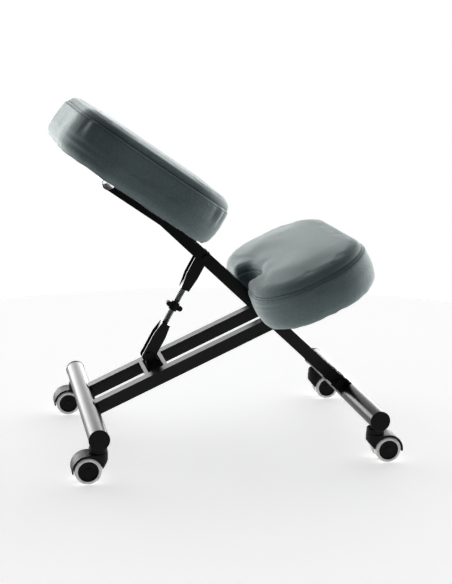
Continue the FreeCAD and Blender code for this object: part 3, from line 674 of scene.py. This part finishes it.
@dataclass
class UpholsteredPad(ABC):
    """A foam pad in woven cloth, shaped in the frame of its board: x up the slope, z out of the board."""

    name: str
    node: str
    body: Body
    origin: Triple
    slope: float
    bottom: float
    recess: float
    side_height: float
    crown: float
    middle: float
    board_inset: float = 0.020
    skirt_inset: float = 0.010
    seam_inset: float = 0.004
    foam_shrink: float = 0.001
    voxel: float = 0.005
    pressure: float = 4.0
    swell_limit: float = 0.0016
    sink_limit: float = 0.0007
    frames: int = 20
    pull_in: float = 0.0022
    seam_depth: float = 0.0012
    seam_width: float = 0.0024
    thread_radius: float = 0.00055
    stitch_pitch: float = 0.0045
    stitch_drop: float = 0.0045
    stitch_share: float = 0.66
    hem_radius: float = 0.0011
    ripple_height: float = 0.0006
    skirt_width: float = 0.010
    side_bulge: float = 0.002
    dome_share: float = 0.26
    dome_from: float = 5.0
    dome_to: float = 24.0
    ridge_share: float = 0.2
    ridge_gap: float = 3.4
    ridge_width: float = 1.6
    fill: float = 0.85

    @abstractmethod
    def corners(self, inset: float) -> list[Corner]:
        """The pad's outline in plan, drawn in by an inset."""

    @abstractmethod
    def creases(self, rest: np.ndarray, along: np.ndarray) -> np.ndarray:
        """How far each point is pushed out, or in where negative, by folds of the cloth."""

    def overhang(self, points: np.ndarray) -> np.ndarray:
        """How far the foam leans out over its outline at points in the board's frame: not at all."""
        return np.zeros_like(points)

    @property
    def seam_height(self) -> float:
        """Height of the seam between side and top panels."""
        return self.bottom + self.side_height

    def to_chair(self) -> Matrix:
        """The board's frame in the chair's frame."""
        return tilted_frame(self.origin, -self.slope)

    def stations(self) -> list[tuple[float, float]]:
        """The foam's outline as (inset, height) steps from its skirt up to the flat of its top."""
        side = self.side_height
        shrink = self.foam_shrink
        seam = self.seam_height - shrink / 2
        skirt = [(self.skirt_inset * share + shrink, self.bottom + side * rise)
                 for share, rise in SKIRT_PROFILE]
        shoulder = [(shrink + self.seam_inset * steps, seam + self.crown * rise)
                    for steps, rise in SHOULDER_PROFILE]
        return [*skirt, (shrink - self.side_bulge, self.bottom + side * 0.5),
                (shrink, self.bottom + side * 0.88), *shoulder]

    def foam(self) -> bpy.types.Mesh:
        """The foam's form before the cloth is drawn over it.

        Returns:
            A closed mesh of even small squares, in the board's frame.
        """
        rings = []
        for inset, height in self.stations():
            ring = rounded_ring(self.corners(inset))
            rings.append(np.column_stack([ring, np.full(len(ring), height)]))
        count = len(rings[0])
        last = (len(rings) - 1) * count
        ends = [tuple(range(count - 1, -1, -1)), tuple(range(last, last + count))]
        faces = bands(0, len(rings), count) + ends
        mesh = new_mesh(self.name + "_foam", np.concatenate(rings).tolist(), faces)
        mesh = modified(mesh, "TRIANGULATE", {})
        even = modified(mesh, "REMESH", {"mode": "VOXEL", "voxel_size": self.voxel})
        places = coordinates(even)
        flat = places[:, 2] > self.stations()[-1][1] - self.voxel
        inwards, _ = self.outline.measure(places[:, :2])
        reach = eased(inwards, self.seam_inset * self.dome_from, self.seam_inset * self.dome_to)
        places[flat, 2] += self.crown * self.dome_share * reach[flat]
        move_points(even, places)
        return even

    def inflated(self, rest: bpy.types.Mesh) -> np.ndarray:
        """Lets the cloth swell under the foam's pressure, held along the board.

        Args:
            rest: the foam's mesh.

        Returns:
            The places of the mesh's points after the swelling.
        """
        start = coordinates(rest)
        cloth = add_object(self.name + "_cloth", rest.copy())
        held = cloth.vertex_groups.new(name="held")
        # The lowest layer of points is held, as if stapled to the board.
        low = np.flatnonzero(start[:, 2] < self.bottom + self.voxel * 1.2)
        held.add([int(index) for index in low], 1.0, "REPLACE")
        modifier = cloth.modifiers.new("swelling", "CLOTH")
        modifier.settings.use_pressure = True
        modifier.settings.uniform_pressure_force = self.pressure
        modifier.settings.vertex_group_mass = held.name
        modifier.settings.effector_weights.gravity = 0.0
        modifier.point_cache.frame_start = 1
        modifier.point_cache.frame_end = self.frames
        scene = bpy.context.scene
        for frame in range(1, self.frames + 1):
            scene.frame_set(frame)
        graph = bpy.context.evaluated_depsgraph_get()
        swollen = bpy.data.meshes.new_from_object(cloth.evaluated_get(graph))
        motion = coordinates(swollen) - start
        bpy.data.objects.remove(cloth)
        scene.frame_set(1)
        normals = point_normals(rest)
        outward = (motion * normals).sum(axis=1)
        log.info("%s: cloth pushed %.1f mm at the median, %.1f mm at most, before the limit", self.name,
                 float(np.median(outward)) * 1000, float(np.abs(outward).max()) * 1000)
        # Soft limits keep the swelling even instead of cutting it off: foam gives little inwards.
        limit = np.where(outward > 0, self.swell_limit, self.sink_limit)
        return start + normals * (limit * np.tanh(outward / limit))[:, None]

    def on_side(self, rest: np.ndarray, inwards: np.ndarray) -> np.ndarray:
        """Tells which points lie on the side panel.

        Args:
            rest: places in the foam's form.
            inwards: distances inside the outline.

        Returns:
            True for each point of the side panel.
        """
        slant = (rest[:, 2] - self.seam_height) + (inwards - self.seam_inset - self.foam_shrink)
        under = (rest[:, 2] < self.bottom + self.voxel / 2) & (inwards > self.skirt_inset + self.foam_shrink)
        return (slant <= 0) & ~under

    def tailored(self, mesh: bpy.types.Mesh, rest: np.ndarray) -> None:
        """Draws in the seam and the sides, folds the cloth and sinks the board's recess.

        Args:
            mesh: the smooth swollen mesh, changed in place.
            rest: the same points in the foam's form.
        """
        places = coordinates(mesh)
        normals = point_normals(mesh)
        inwards, along = self.outline.measure(rest[:, :2])
        seam_gap = np.hypot(inwards - self.seam_inset - self.foam_shrink, rest[:, 2] - self.seam_height
                            + self.foam_shrink / 2)
        push = -self.seam_depth * bell(seam_gap, self.seam_width)
        ridge = bell(seam_gap - self.seam_width * self.ridge_gap, self.seam_width * self.ridge_width)
        push += self.seam_depth * self.ridge_share * ridge
        side = 1 - eased(np.abs(normals[:, 2]), 0.5, 0.95)
        length = float(np.ptp(self.outline.ring[:, 0]))
        width = float(np.ptp(self.outline.ring[:, 1]))
        across = np.cos(np.pi * np.clip(rest[:, 1] / width, -0.5, 0.5)) ** 2
        lengthwise = np.cos(np.pi * np.clip((rest[:, 0] - self.middle) / length, -0.5, 0.5)) ** 2
        push -= self.pull_in * side * (np.abs(normals[:, 0]) * across + np.abs(normals[:, 1]) * lengthwise)
        push += self.creases(rest, along)
        places += normals * push[:, None]
        skirt = bell(rest[:, 2] - self.bottom, self.skirt_width) * (inwards < self.board_inset)
        ripple = sum(share * np.sin(along * waves + phase) for share, waves, phase in RIPPLES)
        places[:, 2] += skirt * ripple * self.ripple_height
        under = rest[:, 2] < self.bottom + self.voxel * 0.6
        # The recess for the board has a steep edge, five millimetres wide.
        sink = eased(inwards, self.board_inset - 0.006, self.board_inset - 0.001)
        floor = self.recess * sink + self.bottom * (1 - sink)
        places[under & (sink > 0), 2] = floor[under & (sink > 0)]
        move_points(mesh, places)

    def lay_weave(self, mesh: bpy.types.Mesh, rest: np.ndarray) -> None:
        """Lays the weave on each panel in metres of cloth.

        Args:
            mesh: the pad's mesh.
            rest: its points in the foam's form.
        """
        inwards, along = self.outline.measure(rest[:, :2])
        side = self.on_side(rest, inwards)
        loops = np.empty(len(mesh.loops), np.int32)
        mesh.loops.foreach_get("vertex_index", loops)
        layer = mesh.uv_layers.new(name="weave")
        flat = np.empty((len(loops), 2))
        for polygon in mesh.polygons:
            corners = slice(polygon.loop_start, polygon.loop_start + polygon.loop_total)
            points = loops[corners]
            if side[points].sum() * 2 > len(points):
                turn = along[points]
                if np.ptp(turn) > self.outline.length / 2:
                    turn = np.where(turn < self.outline.length / 2, turn + self.outline.length, turn)
                flat[corners] = np.column_stack([turn, rest[points, 2]])
            else:
                flat[corners] = rest[points, :2]
        layer.data.foreach_set("uv", flat.astype(np.float32).ravel())

    def line_on(self, surface: BVHTree, inset: float, height: float,
                spacing: float) -> tuple[np.ndarray, np.ndarray]:
        """A closed line round the finished pad.

        Args:
            surface: the finished pad's surface.
            inset: the line's inset in the foam's outline.
            height: its height in the foam.
            spacing: distance between its points.

        Returns:
            Points on the surface and the surface's normals there.
        """
        ring = rounded_ring(self.corners(inset), 40, 80)
        steps = np.linalg.norm(np.roll(ring, -1, axis=0) - ring, axis=1)
        at = np.concatenate([[0], np.cumsum(steps)])
        count = int(at[-1] / spacing)
        wanted = np.arange(count) * at[-1] / count
        closed = np.concatenate([ring, ring[:1]])
        line = np.column_stack([np.interp(wanted, at, closed[:, axis]) for axis in (0, 1)]
                               + [np.full(count, height)])
        points = []
        normals = []
        for target in line + self.overhang(line):
            place, normal, _, _ = surface.find_nearest(Vector(target))
            points.append(place)
            normals.append(normal)
        return np.array(points), np.array(normals)

    def stitches(self, points: np.ndarray, normals: np.ndarray) -> bpy.types.Mesh:
        """A row of short stitches along a closed line.

        Args:
            points: the line's points.
            normals: the cloth's normals there.

        Returns:
            One mesh with a small spindle for each stitch.
        """
        forward = unit(np.roll(points, -1, axis=0) - np.roll(points, 1, axis=0))
        across = unit(np.cross(normals, forward))
        vertices = []
        faces = []
        for place, ahead, out, beside in zip(points, forward, normals, across):
            first = len(vertices)
            for share, swell in STITCH_PROFILE:
                for step in range(STITCH_SIDES):
                    angle = 2 * math.pi * step / STITCH_SIDES
                    spread = out * math.cos(angle) + beside * math.sin(angle)
                    vertices.append(place + ahead * share * self.stitch_pitch * self.stitch_share
                                    + spread * swell * self.thread_radius)
            faces += bands(first, len(STITCH_PROFILE), STITCH_SIDES)
        return new_mesh(self.name + "_stitches", [tuple(v) for v in vertices], faces)

    def finish_piece(self, piece: bpy.types.Object, finish: Finish) -> None:
        """Turns a piece from the board's frame into the chair's and dresses it."""
        piece.data.transform(self.to_chair())
        dress(piece, self.body, finish)

    def build(self) -> None:
        """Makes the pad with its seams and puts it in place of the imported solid."""
        self.outline = Outline(rounded_ring(self.corners(0.0)))
        foam = self.foam()
        swollen = foam.copy()
        move_points(swollen, self.inflated(foam) + self.overhang(coordinates(foam)))
        smooth = {"levels": 1, "render_levels": 1}
        mesh = modified(swollen, "SUBSURF", smooth)
        rest = coordinates(modified(foam, "SUBSURF", smooth))
        self.tailored(mesh, rest)
        self.lay_weave(mesh, rest)
        mesh.shade_smooth()
        mesh.name = self.name
        surface = BVHTree.FromPolygons(coordinates(mesh).tolist(), [tuple(p.vertices) for p in mesh.polygons])
        shrink = self.foam_shrink
        pad = add_object(self.name, mesh)
        self.finish_piece(pad, FABRIC)
        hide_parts(self.node)
        seam, _ = self.line_on(surface, self.seam_inset + shrink, self.seam_height, 0.004)
        self.finish_piece(ring_cord(self.name + "_seam", seam, self.thread_radius), THREAD)
        line, normals = self.line_on(surface, 0.0, self.seam_height - self.stitch_drop, self.stitch_pitch)
        row = add_object(self.name + "_stitching", self.stitches(line, normals))
        self.finish_piece(row, THREAD)
        hem, _ = self.line_on(surface, self.skirt_inset + shrink, self.bottom, 0.004)
        self.finish_piece(ring_cord(self.name + "_hem", hem, self.hem_radius), FABRIC)
        log.info("%s: %d faces", self.name, len(mesh.polygons))


@dataclass
class SeatPad(UpholsteredPad):
    """The seat: a rounded rectangle whose rear corners are pleated under the top seam."""

    name: str = "seat_pad"
    node: str = "seat_cushion"
    body: Body = Body.MAIN
    origin: Triple = (-0.11511, 0.0, 0.45276)
    slope: float = -35.0
    bottom: float = 0.0082
    recess: float = 0.0154
    side_height: float = 0.0775
    crown: float = 0.0177
    middle: float = -0.09515
    rear: float = 0.2633
    front: float = 0.073
    half_width: float = 0.222
    corner_radius: float = 0.096
    pleat_height: float = 0.0022
    sag_height: float = 0.0007
    wave_height: float = 0.0005

    def corners(self, inset: float) -> list[Corner]:
        """The seat's outline in plan, drawn in by an inset."""
        radius = self.corner_radius - inset
        rear = inset - self.rear
        front = self.front - inset
        half = self.half_width - inset
        return [(rear, -half, radius), (front, -half, radius), (front, half, radius), (rear, half, radius)]

    def creases(self, rest: np.ndarray, along: np.ndarray) -> np.ndarray:
        """A pleat at each corner, running down from the seam, and slack cloth near the skirt.

        Args:
            rest: places in the foam's form.
            along: distances along the outline.

        Returns:
            The push of each point along its normal.
        """
        # Fold widths are in metres, and the factors inside the sines in radians per metre.
        below = self.seam_height - rest[:, 2]
        fade = eased(below, 0.0, 0.008) * (1 - eased(below, 0.018, 0.045))
        arc = self.corner_radius * math.pi / 2
        push = np.zeros(len(rest))
        for place in self.corner_places():
            offset = self.outline.offsets(along, place)
            pleat = bell(offset, 0.006) - 0.7 * bell(np.abs(offset) - 0.015, 0.005)
            push += self.pleat_height * fade * pleat
            sag = bell(offset, arc / 4) * bell(below - self.side_height * 0.7, 0.012)
            push += self.sag_height * sag * np.sin(rest[:, 2] * 420)
        push += self.wave_height * np.sin(along * 47) * bell(below - self.side_height * 0.55, 0.02)
        return push

    def corner_places(self) -> list[tuple[float, float]]:
        """The middle of each corner's arc in plan."""
        reach = self.corner_radius * (1 - math.sqrt(0.5))
        rear = reach - self.rear
        front = self.front - reach
        half = self.half_width - reach
        return [(rear, -half), (front, -half), (front, half), (rear, half)]


@dataclass
class KneePad(UpholsteredPad):
    """The knee pad: a plump bean whose notch at the rear lets the legs pass."""

    name: str = "knee_pad"
    node: str = "knee_cushion"
    body: Body = Body.BASE
    origin: Triple = REAR_AXIS
    slope: float = BEAM_SLOPE
    bottom: float = 0.0128
    recess: float = 0.0130
    side_height: float = 0.072
    crown: float = 0.020
    middle: float = 0.493
    rear: float = 0.3715
    pad_length: float = 0.243
    half_width: float = 0.222
    rear_radius: float = 0.105
    front_radius: float = 0.117
    notch_half: float = 0.047
    notch_depth: float = 0.054
    mouth_radius: float = 0.022
    end_radius: float = 0.030
    gather_depth: float = 0.0012
    gather_back: float = 0.012
    gather_in: float = 0.060
    valley_depth: float = 0.0035
    wave_height: float = 0.0006
    lean: float = 0.011

    def corners(self, inset: float) -> list[Corner]:
        """The knee pad's outline in plan, drawn in by an inset, with the notch at the rear."""
        rear = self.rear + inset
        front = self.rear + self.pad_length - inset
        half = self.half_width - inset
        notch = self.notch_half + inset
        end = self.rear + self.notch_depth + inset
        mouth = max(self.mouth_radius - inset, 0.001)
        front_radius = self.front_radius - inset
        rear_radius = self.rear_radius - inset
        end_radius = self.end_radius + inset
        return [(front, -half, front_radius), (front, half, front_radius), (rear, half, rear_radius),
                (rear, notch, mouth), (end, notch, end_radius), (end, -notch, end_radius),
                (rear, -notch, mouth), (rear, -half, rear_radius)]

    def overhang(self, points: np.ndarray) -> np.ndarray:
        """How far the foam at the notch's end leans back over the legs, which slope away there.

        Args:
            points: places in the board's frame.

        Returns:
            The offset of each point.
        """
        # The lean starts above the board and fades out ahead of the notch's end and beside it.
        end = self.rear + self.notch_depth
        rise = eased(points[:, 2], self.bottom + 0.02, self.bottom + 0.07)
        ahead = 1 - eased(points[:, 0], end + 0.01, end + 0.06)
        beside = 1 - eased(np.abs(points[:, 1]), self.notch_half * 0.6, self.notch_half + 0.02)
        offsets = np.zeros_like(points)
        offsets[:, 0] = -self.lean * rise * ahead * beside
        return offsets

    def creases(self, rest: np.ndarray, along: np.ndarray) -> np.ndarray:
        """Gathers where the seam turns round each lobe, and the valley that runs out of the notch.

        Args:
            rest: places in the foam's form.
            along: distances along the outline.

        Returns:
            The push of each point along its normal.
        """
        # Fold widths are in metres, and the factors inside the sines in radians per metre.
        below = self.seam_height - rest[:, 2]
        push = np.zeros(len(rest))
        for side in (-1, 1):
            place = (self.rear + self.gather_back, side * (self.half_width - self.gather_in))
            offset = self.outline.offsets(along, place)
            gathers = np.sin(below * 620 + offset * 22) * bell(offset, 0.03) * bell(below - 0.012, 0.009)
            push += self.gather_depth * gathers
        end = self.rear + self.notch_depth
        valley = bell(rest[:, 1], 0.011) * (1 - eased(rest[:, 0], end, end + 0.045)) * (below < 0.01)
        push -= self.valley_depth * valley
        push += self.wave_height * np.sin(along * 41 + 0.8) * bell(below - self.side_height * 0.5, 0.02)
        return push


class Assembly:
    """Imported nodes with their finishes, and the pieces that belong to them."""

    finishes: dict[str, Finish]

    def build(self) -> None:
        """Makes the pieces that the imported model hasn't: none, unless an assembly says so."""

    def paint(self, nodes: dict[str, bpy.types.Object]) -> None:
        """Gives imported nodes, given by name, their finishes without touching their meshes."""
        for name, finish in self.finishes.items():
            piece = nodes[name]
            if not piece.material_slots:
                piece.data.materials.append(finish.material())
            for slot in piece.material_slots:
                slot.material = finish.material()


@dataclass
class WeldedFrame(Assembly):
    """A steel frame whose two square tubes leave a crossbar at a slope and are welded to it.

    The axis is the crossbar's, the tilt turns the tubes' frame about it in degrees, tube_inner is how
    far the tubes' inner faces lie from the chair's middle, and direction is one for +X and minus one
    for -X.
    """

    body: Body
    weld_name: str
    axis: Triple
    tilt: float
    tube_inner: float
    tube_half: float
    direction: int
    weld_radius: float = 0.0016
    crossbar_radius: float = 0.019
    weld_steps: int = 9

    def build(self) -> None:
        """Lays a weld round each of the two tubes where it meets the crossbar."""
        frame = tilted_frame(self.axis, self.tilt)
        reach = math.asin(self.tube_half / self.crossbar_radius)
        angles = np.linspace(-reach, reach, self.weld_steps)
        radius = self.crossbar_radius + self.weld_radius * 0.2
        outwards = self.direction * radius
        for side, label in ((1, "left"), (-1, "right")):
            near = self.tube_inner * side
            far = (self.tube_inner + self.tube_half * 2) * side
            first = [(outwards * math.cos(a), near, radius * math.sin(a)) for a in angles]
            second = [(outwards * math.cos(a), far, radius * math.sin(a)) for a in angles[::-1]]
            points = np.array([tuple(frame @ Vector(p)) for p in first + second])
            weld = ring_cord(self.weld_name + label, points, self.weld_radius)
            dress(weld, self.body, FRAME_PAINT)


@dataclass
class BaseFrame(WeldedFrame):
    """The sloping base: rear crossbar, side beams, saddle and lug, with the knee pad's board."""

    body: Body = Body.BASE
    weld_name: str = "beam_weld_"
    axis: Triple = REAR_AXIS
    tilt: float = -BEAM_SLOPE
    tube_inner: float = 0.043
    tube_half: float = 0.0125
    direction: int = 1
    finishes: dict[str, Finish] = field(default_factory=lambda: {
        "rear_crossbar": FRAME_PAINT, "rear_end_caps": CAP_PLASTIC, "rear_stem_sockets": HOOD_NYLON,
        "side_beam_left": FRAME_PAINT, "side_beam_right": FRAME_PAINT, "side_beam_plugs": CAP_PLASTIC,
        "saddle_bars": FRAME_PAINT, "strut_lug": FITTING_PAINT, "frame_pivot_bolt": BLACK_BOLT,
        "frame_pivot_washers": CAP_PLASTIC, "lower_pivot_bolt": BLACK_BOLT, "knee_board": BIRCH,
        "knee_under_cover": LINING, "knee_screws": ZINC})


@dataclass
class MainFrame(WeldedFrame):
    """The tilting frame: front crossbar, leg sockets, legs, top tube and the seat's plate and board."""

    body: Body = Body.MAIN
    weld_name: str = "socket_weld_"
    axis: Triple = FRONT_AXIS
    tilt: float = LEG_SLOPE
    tube_inner: float = 0.0139
    tube_half: float = 0.0146
    direction: int = -1
    finishes: dict[str, Finish] = field(default_factory=lambda: {
        "front_crossbar": FRAME_PAINT, "front_end_caps": CAP_PLASTIC, "front_stem_sockets": HOOD_NYLON,
        "leg_sockets": FRAME_PAINT, "socket_bolt": BLACK_BOLT, "main_leg_left": FRAME_PAINT,
        "main_leg_right": FRAME_PAINT, "frame_pivot_spacer": FITTING_PAINT, "upper_pivot_bolt": BLACK_BOLT,
        "top_cross_tube": FRAME_PAINT, "seat_mount_plate": FITTING_PAINT, "seat_under_cover": LINING,
        "seat_board": BIRCH, "seat_screws": ZINC})


@dataclass
class AdjustingStrut(Assembly):
    """The turnbuckle strut: two sheet fittings with nuts, the plated rod and the hand knob."""

    finishes: dict[str, Finish] = field(default_factory=lambda: {
        "lower_fitting": FITTING_PAINT, "lower_nut": FITTING_PAINT, "upper_fitting": FITTING_PAINT,
        "upper_nut": FITTING_PAINT, "threaded_rod": NICKEL, "knob": KNOB_NYLON})


@dataclass
class CasterSet(Assembly):
    """Four twin-wheel casters: nylon hoods, plated pins, nylon hubs and soft grey treads."""

    corners: tuple[str, ...] = ("rear_left", "rear_right", "front_left", "front_right")
    kinds: dict[str, Finish] = field(default_factory=lambda: {
        "hood": HOOD_NYLON, "pins": ZINC, "hub_a": HUB_NYLON, "hub_b": HUB_NYLON,
        "tyre_a": TREAD, "tyre_b": TREAD})

    @property
    def finishes(self) -> dict[str, Finish]:
        """The finish of every caster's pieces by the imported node's name."""
        return {f"caster_{corner}_{kind}": finish for corner in self.corners
                for kind, finish in self.kinds.items()}


@dataclass
class Studio:
    """A pale floor under plain soft light, and the camera at the photograph's angle."""

    floor_radius: float = 1.35
    wall_direction: Triple = (0.22, 0.95, 0.2)
    behind_light: float = 8.0
    front_light: float = 0.1
    overhead_light: float = 0.1
    overhead_share: float = 0.06
    softbox_power: float = 2.5
    softbox_size: float = 2.2
    softbox_place: Triple = (-1.6, -1.2, 2.6)
    softbox_target: Triple = (0.0, 0.0, 0.35)
    yaw: float = -12.28
    pitch: float = 12.93
    roll: float = 0.30
    focal_pixels: float = 1222.8
    picture_height: float = 584.0
    sensor: float = 36.0
    eye: Triple = (-0.4896, -2.3216, 0.8424)

    def floor(self) -> None:
        """Lays the round floor under the casters."""
        steps = 96
        ring = [(self.floor_radius * math.cos(2 * math.pi * step / steps),
                 self.floor_radius * math.sin(2 * math.pi * step / steps), 0.0) for step in range(steps)]
        plane = add_object("floor", new_mesh("floor", ring, [tuple(range(steps))]))
        plane.data.materials.append(FLOOR.material())

    def ramp(self, tree: bpy.types.NodeTree, value: bpy.types.NodeSocket, start: tuple[float, float],
             end: tuple[float, float]) -> bpy.types.NodeSocket:
        """Maps a value smoothly from its range at the start onto the range at the end."""
        inputs = {"Value": value, "From Min": start[0], "From Max": start[1],
                  "To Min": end[0], "To Max": end[1]}
        return add_node(tree, "MapRange", {"interpolation_type": "SMOOTHSTEP"}, inputs).outputs[0]

    def sky(self) -> None:
        """Light from a bright wall low behind the chair, faint elsewhere, seen as plain white."""
        world = bpy.data.worlds.new("studio")
        bpy.context.scene.world = world
        world.use_nodes = True
        tree = world.node_tree
        tree.nodes.clear()
        direction = add_node(tree, "TexCoord").outputs["Generated"]
        axes = add_node(tree, "SeparateXYZ", inputs={0: direction})
        inputs = {0: direction, 1: self.wall_direction}
        facing = add_node(tree, "VectorMath", {"operation": "DOT_PRODUCT"}, inputs).outputs["Value"]
        wall = self.ramp(tree, facing, (-0.15, 0.75), (self.front_light, self.behind_light))
        fade = self.ramp(tree, axes.outputs["Z"], (0.05, 0.42), (1.0, self.overhead_share))
        behind = add_node(tree, "Math", {"operation": "MULTIPLY"}, {0: wall, 1: fade}).outputs[0]
        above = self.ramp(tree, axes.outputs["Z"], (0.1, 0.9), (0.0, self.overhead_light))
        strength = add_node(tree, "Math", {"operation": "ADD"}, {0: behind, 1: above}).outputs[0]
        light = add_node(tree, "Background", inputs={"Color": linear("#FFFFFF"), "Strength": strength})
        seen = add_node(tree, "Background", inputs={"Color": linear("#FFFFFF"), "Strength": 1.0})
        path = add_node(tree, "LightPath").outputs["Is Camera Ray"]
        both = add_node(tree, "MixShader", inputs={0: path, 1: light.outputs[0], 2: seen.outputs[0]})
        add_node(tree, "OutputWorld", inputs={"Surface": both.outputs[0]})

    def softbox(self) -> None:
        """Hangs one large soft lamp above the chair's near left."""
        lamp = bpy.data.lights.new("softbox", "AREA")
        lamp.shape = "SQUARE"
        lamp.size = self.softbox_size
        lamp.energy = self.softbox_power
        holder = add_object("softbox", lamp)
        holder.location = self.softbox_place
        aim = Vector(self.softbox_target) - Vector(self.softbox_place)
        holder.rotation_euler = aim.to_track_quat("-Z", "Y").to_euler()

    def camera(self) -> None:
        """Sets the camera where the photograph was taken from."""
        yaw, pitch, roll = (math.radians(a) for a in (self.yaw, self.pitch, self.roll))
        back = Vector((math.sin(yaw) * math.cos(pitch), -math.cos(yaw) * math.cos(pitch), math.sin(pitch)))
        level = Vector((math.cos(yaw), math.sin(yaw), 0.0))
        upward = back.cross(level)
        right = level * math.cos(roll) + upward * math.sin(roll)
        top = upward * math.cos(roll) - level * math.sin(roll)
        lens = bpy.data.cameras.new("camera")
        lens.sensor_width = self.sensor
        lens.lens = self.focal_pixels * self.sensor / self.picture_height
        lens.clip_start = 0.05
        lens.clip_end = 50.0
        holder = add_object("camera", lens)
        turn = Matrix((right, top, back)).transposed().to_4x4()
        holder.matrix_world = Matrix.Translation(Vector(self.eye)) @ turn
        bpy.context.scene.camera = holder

    def build(self) -> None:
        """Sets up floor, light and camera, with colours shown as they are."""
        self.camera()
        self.floor()
        self.sky()
        self.softbox()
        view = bpy.context.scene.view_settings
        view.view_transform = "Standard"
        view.look = "None"


def main() -> None:
    """Builds the pieces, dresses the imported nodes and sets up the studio."""
    logging.basicConfig(level=logging.INFO, format="%(message)s")
    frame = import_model()
    Studio().build()
    for pad in (SeatPad(), KneePad()):
        pad.build()
    for assembly in (BaseFrame(), MainFrame(), AdjustingStrut(), CasterSet()):
        assembly.build()
        assembly.paint(frame["nodes"])
        log.info("%s: %d packed nodes dressed", type(assembly).__name__, len(assembly.finishes))


if __name__ == "__main__":
    main()
